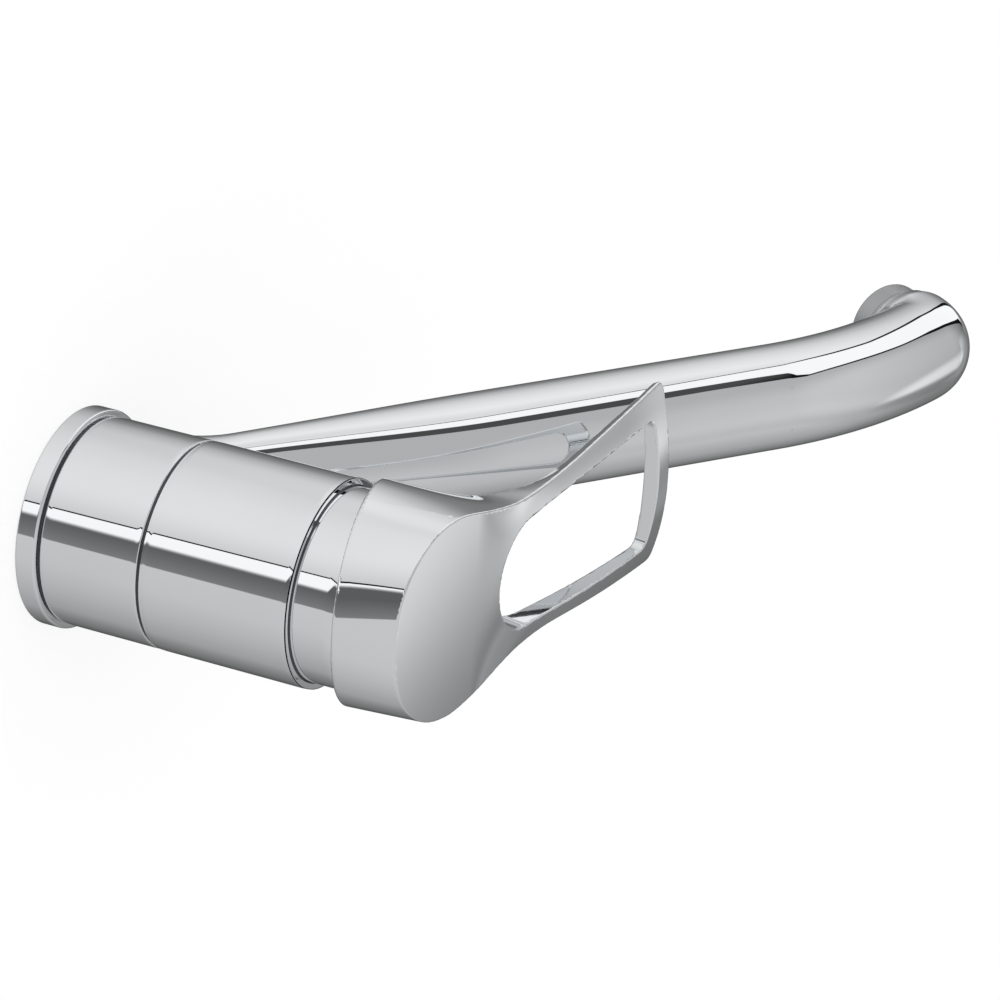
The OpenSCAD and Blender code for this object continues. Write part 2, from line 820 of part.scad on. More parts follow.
module screw_plug() {
    color("gray")
    lever_frame()
    translate([cap_r - cap_wall, 0, screw_z])
    bar_x(access_r - fit, cap_wall);
}

base_ring();
base_gasket();
main_body();
lower_slide_ring();
upper_slide_ring();
spout_orings();
swivel_stop_pin();
cartridge_base();
port_seals();
cartridge_shell();
fixed_disc();
cartridge_nut();
collar();
spout();
aerator_gasket();
aerator_insert();
aerator_mesh();
aerator_housing();
stem_guide();
pivot_pin();
disc_carrier();
moving_disc();
stem();
lever();
grub_screw();
screw_plug();
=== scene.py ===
import json
import math

import bpy
import numpy as np
from mathutils import Matrix, Vector
from numpy.polynomial import Polynomial

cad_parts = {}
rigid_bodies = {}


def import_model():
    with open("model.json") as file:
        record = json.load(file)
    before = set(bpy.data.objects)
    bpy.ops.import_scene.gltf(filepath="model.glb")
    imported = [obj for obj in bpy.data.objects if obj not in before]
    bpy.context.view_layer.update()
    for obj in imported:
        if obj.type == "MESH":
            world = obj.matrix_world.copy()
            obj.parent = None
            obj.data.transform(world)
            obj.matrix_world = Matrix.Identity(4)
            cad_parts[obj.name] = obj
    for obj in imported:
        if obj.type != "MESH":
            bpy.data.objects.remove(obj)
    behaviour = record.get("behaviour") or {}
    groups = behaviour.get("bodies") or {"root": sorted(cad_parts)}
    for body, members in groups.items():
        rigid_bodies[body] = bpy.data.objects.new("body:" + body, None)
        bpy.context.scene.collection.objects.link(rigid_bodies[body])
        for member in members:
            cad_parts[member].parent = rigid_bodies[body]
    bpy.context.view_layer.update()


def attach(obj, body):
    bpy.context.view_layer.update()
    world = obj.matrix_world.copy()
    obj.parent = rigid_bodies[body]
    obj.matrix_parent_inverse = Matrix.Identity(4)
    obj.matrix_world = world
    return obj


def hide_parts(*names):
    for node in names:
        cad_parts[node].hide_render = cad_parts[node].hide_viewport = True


# Kitchen mixer tap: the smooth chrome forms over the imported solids.
# Lengths are in millimetres until a mesh is made, in the row frame: +Z up the body, +X along the spout.

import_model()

MM = 0.001
TINY = 1e-9
# A field's value where a form doesn't reach
FAR = 1e3

# Body: base ring, swivel section and housing
BODY_R = 25.2
BASE_R, BASE_BORE_R, BASE_TOP = 26.6, 17.05, 5.2
GASKET_IN_R, GASKET_OUT_R, GASKET_DEPTH = 20.45, 24.55, 2.05
SWIVEL_LOW, SWIVEL_HIGH = 5.7, 31.1
HOUSING_LOW, HOUSING_HIGH = 32.1, 70.0
SPINDLE_R = 19.05
# Each ring of the body falls away a little towards its ends
CROWN, CROWN_L, CROWN_ARC_R = 0.06, 1.6, 12.0
# The sleeve over the housing: its skin, its inner wall and its lip over the housing's top
SKIN = 0.05
SLEEVE_IN_R, SLEEVE_LIP_R, SLEEVE_LIP_H = 24.4, 22.6, 0.6
# Dark rings in the grooves, which paint the shade of the gaps between the rings: sunk into the ring below and
# just clear of the one above
SHADE_RING_R, SHADE_RING_WALL = 24.75, 0.7
SHADE_RING_SINK, SHADE_RING_GAP = 0.02, 0.03

# Collar: a plate, and a rim that is domed like a ball about the pivot from DOME_LOW to DOME_HIGH over it
COLLAR_R, COLLAR_IN_R, COLLAR_BORE_R = 23.4, 21.8, 16.08
COLLAR_TOP, COLLAR_PLATE = 79.4, 1.4
COLLAR_SEAM = 0.3
DOME_LOW, DOME_HIGH, DOME_ARC_R = 1.5, 5.0, 14.0
DOME_OUT_R, DOME_IN_R, DOME_FOOT_R = 22.75, 21.4, 21.2
PLATE_FOOT_R = 21.0

# Spout
RISE = math.radians(37.3)
AXIS_Z = -0.4
STRAIGHT_L = 191.6
BEND_R, BEND_A = 123.0, math.radians(24.6)
TIGHT_R = 7.5
OUTLET_TILT = math.radians(32.9)
TUBE_R = 13.5
NOZZLE_R, NOZZLE_L = 12.6, 4.5
SPIGOT_R, SPIGOT_L = 11.0, 4.2
BORE_R = 8.6
# The root is flatter than the tube, starts a little inside the swivel section and stays clear of the housing
ROOT_HALF_H = 9.8
ROOT_FROM, ROOT_TO = 30.0, 110.0
ROOT_BLEND_R, ROOT_INSET = 32.0, 0.15
HOUSING_CLEAR = 0.4
SPOUT_EDGE, ROOT_FILLET = 0.3, 0.6
NOZZLE_EDGE, NOZZLE_FILLET = 0.6, 0.8

# Aerator housing: heights are from the nozzle's rim
AERATOR_R, AERATOR_FROM, AERATOR_H = 11.4, 0.3, 7.8
AERATOR_BORE_R = SPIGOT_R + 0.05
AERATOR_LIP_R, AERATOR_LIP_H = SPIGOT_R - 1.8, 0.85
# A fine line turned into it, with sloping sides
LINE_FROM, LINE_TO, LINE_DEPTH, LINE_SLOPE = 1.5, 2.0, 0.25, 0.15

# Lever, in its own tilted frame about the pivot: u and v run along and across its face, and h stands on it
PIVOT_Z = 78.0
LEVER_TILT = math.radians(9.4)
FACE_H, FACE_RISE = 24.8, math.radians(20)
FACE_SLOPE = math.tan(FACE_RISE)

# Face: crowned over the cap about CROWN_U, then bowed along and across the loop
CAP_CROWN, CROWN_U = 0.0006, -4.0
BOW_ALONG, BOW_FROM = 0.00084, 8.0
BOW_ACROSS, BOW_ACROSS_FROM, BOW_ACROSS_L = 0.0084, 2.0, 40.0
FACE_EDGE = 0.4
# Half-widths of the face at distances along it, and of the hole in its loop, which smooth curves follow
FACE_HALF = [(-5.3, 25.2), (-4, 25.15), (-1, 24.7), (1.4, 24.0), (3.2, 23.6), (9.2, 21.9), (11.6, 21.6),
             (16.6, 20.6), (20.9, 19.9), (25.1, 19.35), (29, 19.15), (33.1, 19.25), (41.4, 19.8), (49, 20.6),
             (54.4, 21.2), (58.9, 21.5), (67.8, 22.5), (73.5, 22.9), (83, 23.8), (88.4, 24.2), (92, 24.4)]
HOLE_HALF = [(26, 14.0), (35, 14.8), (45, 15.4), (64, 16.6), (84.2, 17.4)]
# The distances between which those curves hold
FACE_SPAN, HOLE_SPAN = (-5.3, 92), (26, 86)

# Cap: a circle at its rim, squarer behind at its face, and hollow. It may stand CAP_SPARE past its rim
CAP_R, CAP_WALL, CAP_SPARE = 26.7, 2.1, 0.9
RIM_DROP, RIM_EDGE = 0.45, 0.35
CAP_BACK_X, CAP_BACK_L, CAP_BACK_HALF = -5.0, 21.3, 25.2
CAP_BACK_SCALE, SQUARENESS = 23.5, 2.2
CEILING_DROP = 4.8
BOSS_R, BOSS_FROM = 9.0, 7.2
SOCKET_HALF, SOCKET_TOP = 4.05, 18.2
SCREW_R, SCREW_Z, SCREW_FROM = 3.0, 10.6, 9.0

# Loop: its wall leans in from LEAN_BELOW under the face, its tip is hollow-curved and its bar gets thinner
LOOP_FROM, LOOP_BLEND_FROM, LOOP_BLEND_L = 20.0, 12.0, 16.0
LOOP_REACH, TIP_BOW, TIP_EDGE = 90.0, 0.004, 2.3
LEAN, LEAN_L, LEAN_BELOW = 0.5, 24.0, 0.5
BAR_H, BAR_THINNING, BAR_L, BAR_BOW = 6.65, 2.2, 64.0, 0.0053
BAR_STARTS, BAR_FILLET, BAR_EDGE = 4.0, 6.0, 0.8
# The hole, with a scoop that runs down into the cap's front
HOLE_FROM, HOLE_TO, HOLE_NEAR_R = 12.0, 84.2, 14.0
HOLE_CORNER, HOLE_EDGE, HOLE_WALL = 2.6, 0.45, 2.5
SCOOP_X, SCOOP_Z, SCOOP_R, SCOOP_FILLET = 24.06, 28.46, 14.0, 2.0


# Implicit solids: each field is negative inside, in millimetres

def rmax(a, b, r):
    """Intersection with its edge rounded to r."""
    return np.minimum(np.maximum(a, b), -r) + np.hypot(np.maximum(a + r, 0), np.maximum(b + r, 0))


def rmin(a, b, r):
    """Union with its inner corner filled to r."""
    return -rmax(-a, -b, r)


def smooth(t):
    t = np.clip(t, 0, 1)
    return t * t * (3 - 2 * t)


def gradient(field, p, step=0.03):
    g = np.empty_like(p)
    for k in range(3):
        d = np.zeros(3)
        d[k] = step
        g[:, k] = (field(*(p + d).T) - field(*(p - d).T)) / (2 * step)
    return g


def edge_ends(k):
    """Slices of a grid that give both ends of its edges along axis k."""
    low, high = [slice(None)] * 3, [slice(None)] * 3
    low[k], high[k] = slice(None, -1), slice(1, None)
    return tuple(low), tuple(high)


def cells_by(edges, m, n, dm, dn):
    """One of the four cells round each edge: dm and dn steps back along the axes m and n."""
    cells = edges.copy()
    cells[:, m] -= dm
    cells[:, n] -= dn
    return cells


def cell_points(values, axes, crossed):
    """The cells that the surface passes through, and for each the mean of the crossings on its edges."""
    shape = tuple(s - 1 for s in values.shape)
    total = np.zeros(shape + (3,), np.float32)
    count = np.zeros(shape, np.int32)
    for k in range(3):
        low, high = edge_ends(k)
        edges = np.argwhere(crossed[k])
        a, b = values[low][crossed[k]], values[high][crossed[k]]
        place = np.stack([axes[m][edges[:, m]] for m in range(3)], 1)
        place[:, k] += a / (a - b) * (axes[k][edges[:, k] + 1] - axes[k][edges[:, k]])
        m, n = [axis for axis in range(3) if axis != k]
        for dm in (0, 1):
            for dn in (0, 1):
                cells = cells_by(edges, m, n, dm, dn)
                ok = ((cells >= 0) & (cells < shape)).all(1)
                np.add.at(total, tuple(cells[ok].T), place[ok])
                np.add.at(count, tuple(cells[ok].T), 1)
    cells = np.argwhere(count > 0)
    where = tuple(cells.T)
    return cells, total[where] / count[where][:, None].astype(float)


def pull(field, p, reach, times=4):
    """Move points onto a field's surface, each time by no more than their reach."""
    for _ in range(times):
        g = gradient(field, p)
        move = -field(*p.T)[:, None] * g / np.maximum((g * g).sum(1), 0.05)[:, None]
        length = np.maximum(np.linalg.norm(move, axis=1), TINY)
        p = p + move * np.minimum(1, reach / length)[:, None]
    return p


def cell_quads(inside, crossed, index):
    """A quad over each crossed edge, through the points of the four cells round it, facing outward."""
    shape = index.shape
    quads = []
    for k in range(3):
        m, n = (k + 1) % 3, (k + 2) % 3
        edges = np.argwhere(crossed[k])
        ok = (edges[:, m] > 0) & (edges[:, n] > 0) & (edges[:, m] < shape[m]) & (edges[:, n] < shape[n])
        edges = edges[ok]
        round_edge = [cells_by(edges, m, n, dm, dn) for dm, dn in ((1, 1), (0, 1), (0, 0), (1, 0))]
        quad = np.stack([index[tuple(cells.T)] for cells in round_edge], 1)
        turned = ~inside[tuple(edges.T)]
        quad[turned] = quad[turned][:, ::-1]
        quads.append(quad)
    return np.concatenate(quads)


def isosurface(field, *axes):
    """Dual mesh of a field over a grid, its points pulled onto the surface: points, quads and normals."""
    grid = np.meshgrid(*axes, indexing="ij", sparse=True)
    values = np.broadcast_to(field(*grid), [len(a) for a in axes])
    inside = values < 0
    crossed = [inside[low] != inside[high] for low, high in map(edge_ends, range(3))]
    cells, p = cell_points(values, axes, crossed)
    index = np.full([s - 1 for s in values.shape], -1)
    index[tuple(cells.T)] = np.arange(len(cells))
    reach = 0.6 * np.stack([np.diff(axes[m])[cells[:, m]] for m in range(3)], 1).min(1)
    p = pull(field, p, reach)
    g = gradient(field, p)
    normals = g / np.maximum(np.linalg.norm(g, axis=1), TINY)[:, None]
    return p, cell_quads(inside, crossed, index), normals


def steps(*parts):
    """Grid places: steps(start, (end, step), ...)."""
    out = [parts[0]]
    for end, step in parts[1:]:
        n = max(1, round((end - out[-1]) / step))
        out += list(np.linspace(out[-1], end, n + 1)[1:])
    return np.array(out)


def add_mesh(name, verts, faces, normals=None):
    mesh = bpy.data.meshes.new(name)
    mesh.from_pydata((np.asarray(verts) * MM).tolist(), [], np.asarray(faces).tolist())
    mesh.shade_smooth()
    if normals is not None:
        mesh.normals_split_custom_set_from_vertices(normals.tolist())
    obj = bpy.data.objects.new(name, mesh)
    bpy.context.scene.collection.objects.link(obj)
    return obj


# Spout

def on_arc(centre, radius, tilt):
    """The place in the XZ plane where an arc rises by tilt. With -radius, the centre from such a place."""
    return centre[0] - radius * math.sin(tilt), centre[1] + radius * math.cos(tilt)


# The centre line: up a straight, round a long bend and a tight one, and down the nozzle
STRAIGHT_END = (STRAIGHT_L * math.cos(RISE), AXIS_Z + STRAIGHT_L * math.sin(RISE))
BEND_CENTRE = on_arc(STRAIGHT_END, -BEND_R, RISE)
CREST_RISE = RISE - BEND_A
BEND_END = on_arc(BEND_CENTRE, BEND_R, CREST_RISE)
TIGHT_CENTRE = on_arc(BEND_END, -TIGHT_R, CREST_RISE)
NOZZLE_RISE = OUTLET_TILT - math.pi / 2
NOZZLE_START = on_arc(TIGHT_CENTRE, TIGHT_R, NOZZLE_RISE)
NOZZLE_WAY = (math.sin(OUTLET_TILT), 0, -math.cos(OUTLET_TILT))
NOZZLE_RIM = (NOZZLE_START[0] + NOZZLE_L * NOZZLE_WAY[0], 0, NOZZLE_START[1] + NOZZLE_L * NOZZLE_WAY[2])


def root_half_width(x):
    """Half-width of the tube where it widens into the swivel section, by arcs that touch both."""
    ring = BODY_R - ROOT_INSET
    blend_y = TUBE_R + ROOT_BLEND_R
    blend_x = math.sqrt((ring + ROOT_BLEND_R) ** 2 - blend_y ** 2)
    touch_x = blend_x * ring / (ring + ROOT_BLEND_R)
    return blend_y - np.sqrt(ROOT_BLEND_R ** 2 - (blend_x - np.clip(x, touch_x, blend_x)) ** 2)


def straight_field(x, y, z):
    c, s = math.cos(RISE), math.sin(RISE)
    along = x * c + (z - AXIS_Z) * s
    off = -x * s + (z - AXIS_Z) * c
    half_w = root_half_width(along * c)
    half_h = ROOT_HALF_H + (TUBE_R - ROOT_HALF_H) * smooth((along - ROOT_FROM) / (ROOT_TO - ROOT_FROM))
    return np.maximum((np.hypot(off / half_h, y / half_w) - 1) * half_h, along - STRAIGHT_L)


def bend_field(x, y, z, centre, radius, steepest, flattest):
    """A round tube along an arc, over the stretch where the arc rises by angles between these two."""
    dx, dz = x - centre[0], z - centre[1]
    wall = np.hypot(np.hypot(dx, dz) - radius, y) - TUBE_R
    rise = np.arctan2(-dx, dz)
    return np.where((rise <= steepest) & (rise >= flattest), wall, FAR)


def tube_field(x, y, z):
    bend = bend_field(x, y, z, BEND_CENTRE, BEND_R, RISE, CREST_RISE)
    tight = bend_field(x, y, z, TIGHT_CENTRE, TIGHT_R, CREST_RISE, NOZZLE_RISE)
    tube = np.minimum(np.minimum(straight_field(x, y, z), bend), tight)
    dx, dz = x - NOZZLE_START[0], z - NOZZLE_START[1]
    down = dx * NOZZLE_WAY[0] + dz * NOZZLE_WAY[2]
    r = np.hypot(dx * NOZZLE_WAY[2] - dz * NOZZLE_WAY[0], y)
    nozzle_r = TUBE_R - (TUBE_R - NOZZLE_R) * smooth(down / NOZZLE_L)
    nozzle = rmax(np.where(down >= 0, r - nozzle_r, FAR), down - NOZZLE_L, NOZZLE_EDGE)
    spigot = np.maximum(r - SPIGOT_R, np.maximum(-down, down - NOZZLE_L - SPIGOT_L))
    bore = np.maximum(r - BORE_R, -down)
    return np.maximum(np.minimum(rmin(tube, nozzle, NOZZLE_FILLET), spigot), -bore)


def spout_field(x, y, z):
    r = np.hypot(x, y)
    below, above = SWIVEL_LOW - z, z - SWIVEL_HIGH
    to_end = np.clip(1 - np.minimum(-below, -above) / CROWN_L, 0, 1)
    ring = rmax(r - BODY_R + CROWN * to_end ** 2, np.maximum(below, above), SPOUT_EDGE)
    by_housing = np.maximum(-above, r - BODY_R - HOUSING_CLEAR)
    tube = np.maximum(rmax(tube_field(x, y, z), -by_housing, SPOUT_EDGE), below)
    both = rmin(ring, tube, ROOT_FILLET)
    both = np.maximum(both, np.maximum(below, np.minimum(above, BODY_R + HOUSING_CLEAR - r)))
    return np.maximum(both, SPINDLE_R - r)


def make_spout():
    xs = steps(-26.0, (46, 0.6), (188, 1.5), (227, 0.55))
    ys = steps(-26.4, (26.4, 0.66))
    zs = steps(5.2, (7.4, 0.2), (29.3, 1.1), (32.2, 0.17), (100, 1.4), (152.4, 0.55))
    spout = add_mesh("spout_casting", *isosurface(spout_field, xs, ys, zs))
    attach(spout, "swivel_spout")
    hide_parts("spout")


# Lever

FACE_CURVE = Polynomial.fit(*np.transpose(FACE_HALF), 6)
HOLE_CURVE = Polynomial.fit(*np.transpose(HOLE_HALF), 3)


def face_half(u):
    return FACE_CURVE(np.clip(u, *FACE_SPAN))


def hole_half(u):
    return HOLE_CURVE(np.clip(u, *HOLE_SPAN))


def bow_along(u):
    return -BOW_ALONG * np.maximum(u - BOW_FROM, 0) ** 2


def face_level(u, v):
    """The face's height over its plane, which is nowhere above zero."""
    on_loop = smooth((u - BOW_ACROSS_FROM) / BOW_ACROSS_L)
    crown = CAP_CROWN * (1 - on_loop) * ((u - CROWN_U) ** 2 + v * v)
    return bow_along(u) - BOW_ACROSS * on_loop * v * v - crown


def cap_outline(x, y):
    """Distance to the face's outline, also down the cap: squarer than a circle behind, waisted in front."""
    over_x, over_y = np.abs(np.minimum(x - CAP_BACK_X, 0)) / CAP_BACK_L, np.abs(y) / CAP_BACK_HALF
    back = (over_x ** SQUARENESS + over_y ** SQUARENESS) ** (1 / SQUARENESS)
    front = np.abs(y) - face_half(x / math.cos(FACE_RISE))
    return np.where(x < CAP_BACK_X, (back - 1) * CAP_BACK_SCALE, front)


def hole_outline(u, v):
    arc_u = HOLE_FROM + HOLE_NEAR_R
    near = np.hypot(np.minimum(u - arc_u, 0), v) - HOLE_NEAR_R
    along = np.abs(v) - hole_half(u)
    return rmax(np.where(u < arc_u, near, along), u - HOLE_TO, HOLE_CORNER)


def tip(x, z, angle):
    """x and z turned up about the Y axis."""
    c, s = math.cos(angle), math.sin(angle)
    return x * c - z * s, x * s + z * c


def pocket_field(u, v, x, z):
    """The hole in the loop, with the scoop into the cap's front."""
    scoop = np.where(x > SCOOP_X, SCOOP_Z - SCOOP_R - z, np.hypot(x - SCOOP_X, z - SCOOP_Z) - SCOOP_R)
    return rmax(hole_outline(u, v), scoop, SCOOP_FILLET)


def wall_field(u, v, depth, side):
    """The outer wall: the cap's side, the loop's, which leans in with depth under the face, and the tip."""
    lean = LEAN * smooth((u - LOOP_FROM) / LEAN_L)
    outer = (np.abs(v) - face_half(u) + lean * depth) / np.sqrt(1 + lean * lean)
    wall = side + (outer - side) * smooth((u - LOOP_BLEND_FROM) / LOOP_BLEND_L)
    return rmax(wall, u - LOOP_REACH - TIP_BOW * v * v, TIP_EDGE)


def inner_field(x, y, z, side, pocket):
    """What is taken out of the cap: its hollow round the boss, the stem's socket and the screw's way."""
    r = np.hypot(x, y)
    ceiling = z - (FACE_H - CEILING_DROP + x * FACE_SLOPE)
    wall = np.maximum(side, r - CAP_R - CAP_SPARE) + CAP_WALL
    hollow = np.maximum(np.maximum(wall, ceiling), HOLE_WALL - pocket)
    hollow = np.maximum(hollow, -np.maximum(r - BOSS_R, BOSS_FROM - z))
    socket = np.maximum(np.maximum(np.abs(x), np.abs(y)) - SOCKET_HALF, z - SOCKET_TOP)
    screw = np.maximum(np.hypot(y, z - SCREW_Z) - SCREW_R, SCREW_FROM - x)
    return np.minimum(hollow, np.minimum(socket, screw))


def lever_field(u, v, h):
    x, z = tip(u, h, FACE_RISE)
    y, z = v, z + FACE_H
    over_face = h - face_level(u, v)
    over_rim = z + RIM_DROP
    # the cap's side goes from the circle at its rim to the outline of the face
    round_side = np.hypot(x, y) - CAP_R
    up = np.clip(over_rim / (FACE_H + x * FACE_SLOPE + RIM_DROP), 0, 1.1)
    side = round_side + (cap_outline(x, y) - round_side) * up
    wall = wall_field(u, v, np.maximum(-over_face - LEAN_BELOW, 0), side)
    # the cap's upright front and the loop's bar, filleted together
    bar = BAR_H - BAR_THINNING * np.clip((u - LOOP_FROM) / BAR_L, 0, 1)
    under = np.where(u > BAR_STARTS, bow_along(u) - bar - BAR_BOW * v * v - h, FAR)
    body = rmin(np.maximum(round_side - CAP_SPARE, -over_rim), under, BAR_FILLET)
    solid = rmax(rmax(wall, body, BAR_EDGE), -over_rim, RIM_EDGE)
    pocket = pocket_field(u, v, x, z)
    solid = rmax(rmax(solid, -pocket, HOLE_EDGE), over_face, FACE_EDGE)
    return np.maximum(solid, -inner_field(x, y, z, side, pocket))


def tipped(points, angle):
    x, z = tip(points[:, 0], points[:, 2], angle)
    return np.stack([x, points[:, 1], z], 1)


def make_lever():
    us = steps(-35.0, (95.0, 0.5))
    vs = steps(-27.5, (27.5, 0.5))
    hs = steps(-34.5, (-8, 0.6), (1.2, 0.4))
    p, quads, normals = isosurface(lever_field, us, vs, hs)
    p = tipped(tipped(p, FACE_RISE) + [0, 0, FACE_H], -LEVER_TILT) + [0, 0, PIVOT_Z]
    normals = tipped(tipped(normals, FACE_RISE), -LEVER_TILT)
    lever = add_mesh("lever_casting", p, quads, normals)
    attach(lever, "lifting_lever")
    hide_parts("lever")


# Turned pieces

def outline(corners, arc_steps=6):
    """Points round a polygon with corners (x, y, radius), counterclockwise, and their outward normals."""
    pts, outs = [], []
    n = len(corners)
    for i in range(n):
        a, b, c = (np.array(corners[(i + k) % n][:2], float) for k in (-1, 0, 1))
        r = corners[i][2]
        e1, e2 = (b - a) / np.linalg.norm(b - a), (c - b) / np.linalg.norm(c - b)
        n1, n2 = np.array([e1[1], -e1[0]]), np.array([e2[1], -e2[0]])
        turn = math.acos(np.clip(e1 @ e2, -1, 1))
        side = 1 if e1[0] * e2[1] - e1[1] * e2[0] > 0 else -1
        centre = b - e1 * r * math.tan(turn / 2) - side * r * n1
        for k in range(arc_steps + 1):
            w = k / arc_steps
            out = (math.sin(turn * (1 - w)) * n1 + math.sin(turn * w) * n2) / math.sin(turn)
            pts.append(centre + side * r * out)
            outs.append(out)
    return np.array(pts), np.array(outs)


def spun(section, segments):
    """A section of (radius, height) at each angle round the Z axis."""
    angle = np.arange(segments) * 2 * math.pi / segments
    r, z = section[:, :1], np.repeat(section[:, 1:], segments, 1)
    return np.stack([r * np.cos(angle), r * np.sin(angle), z], 2).reshape(-1, 3)


def in_turn(n):
    """Each number with the one after it, round a ring of n."""
    return [(i, (i + 1) % n) for i in range(n)]


def lathe(name, corners, centre=(0, 0, 0), axis=(0, 0, 1), segments=180):
    """A ring turned about an axis from a section of (radius, height, corner radius), with exact normals."""
    pts, outs = outline(corners)
    turn = np.array(Vector((0, 0, 1)).rotation_difference(Vector(axis)).to_matrix())
    verts, normals = spun(pts, segments) @ turn.T + np.array(centre), spun(outs, segments) @ turn.T
    faces = [(a * segments + i, a * segments + j, b * segments + j, b * segments + i)
             for a, b in in_turn(len(pts)) for i, j in in_turn(segments)]
    return add_mesh(name, verts, faces, normals)


def make_base_ring():
    base = lathe("base_ring_turned", [
        (BASE_BORE_R, 0, 0.2), (GASKET_IN_R, 0, 0.1), (GASKET_IN_R, GASKET_DEPTH, 0.1),
        (GASKET_OUT_R, GASKET_DEPTH, 0.1), (GASKET_OUT_R, 0, 0.1),
        (BASE_R, 0, 0.4), (BASE_R, BASE_TOP, 0.7), (BASE_BORE_R, BASE_TOP, 0.2)])
    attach(base, "fixed_body")
    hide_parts("base_ring")


def make_sleeve():
    low, high = HOUSING_LOW - SKIN, HOUSING_HIGH + SKIN
    sleeve = lathe("housing_sleeve", [
        (SLEEVE_IN_R, low, 0.1), (BODY_R - CROWN, low, 0.3),
        (BODY_R + SKIN, low + CROWN_L / 2, CROWN_ARC_R), (BODY_R + SKIN, high - CROWN_L / 2, CROWN_ARC_R),
        (BODY_R - CROWN, high, 0.35), (SLEEVE_LIP_R, high, 0.1),
        (SLEEVE_LIP_R, high - SLEEVE_LIP_H, 0.1), (SLEEVE_IN_R, high - SLEEVE_LIP_H, 0.1)])
    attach(sleeve, "fixed_body")


def make_groove_shade_rings():
    for name, reach, low, high in (
            ("base_groove", SHADE_RING_R, BASE_TOP, SWIVEL_LOW),
            ("housing_groove", SHADE_RING_R, SWIVEL_HIGH, HOUSING_LOW),
            ("collar_groove", COLLAR_R + COLLAR_SEAM, HOUSING_HIGH + SKIN, HOUSING_HIGH + COLLAR_SEAM)):
        inner, bottom, top = reach - SHADE_RING_WALL, low - SHADE_RING_SINK, high - SHADE_RING_GAP
        corners = [(inner, bottom), (reach, bottom), (reach, top), (inner, top)]
        # a dark ring in the gap: painted shade, where there is only the gap's own shade
        shade_ring = lathe(name, [corner + (0.02,) for corner in corners])
        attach(shade_ring, "fixed_body")


def make_collar():
    plate_low = COLLAR_TOP - COLLAR_PLATE
    collar = lathe("collar_turned", [
        (COLLAR_IN_R, HOUSING_HIGH, 0.2), (COLLAR_R, HOUSING_HIGH, 0.2),
        (COLLAR_R, PIVOT_Z + DOME_LOW, DOME_ARC_R), (DOME_OUT_R, PIVOT_Z + DOME_HIGH, 0.5),
        (DOME_IN_R, PIVOT_Z + DOME_HIGH, 0.3), (DOME_FOOT_R, COLLAR_TOP, 0.3),
        (COLLAR_BORE_R, COLLAR_TOP, 0.3), (COLLAR_BORE_R, plate_low, 0.3),
        (PLATE_FOOT_R, plate_low, 0.3), (COLLAR_IN_R, plate_low - 1.0, 0.3)])
    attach(collar, "fixed_body")
    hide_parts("collar")


def make_aerator():
    line_r, lip_low = AERATOR_R - LINE_DEPTH, AERATOR_H - AERATOR_LIP_H
    aerator = lathe("aerator_turned", [
        (AERATOR_BORE_R, AERATOR_FROM, 0.1), (AERATOR_R, AERATOR_FROM, 0.35),
        (AERATOR_R, LINE_FROM, 0.15), (line_r, LINE_FROM + LINE_SLOPE, 0.1),
        (line_r, LINE_TO - LINE_SLOPE, 0.1), (AERATOR_R, LINE_TO, 0.15),
        (AERATOR_R, AERATOR_H, 0.9), (AERATOR_LIP_R, AERATOR_H, 0.25),
        (AERATOR_LIP_R, lip_low, 0.1), (AERATOR_BORE_R, lip_low, 0.1)], NOZZLE_RIM, NOZZLE_WAY)
    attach(aerator, "swivel_spout")
    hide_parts("aerator_housing")


# Materials

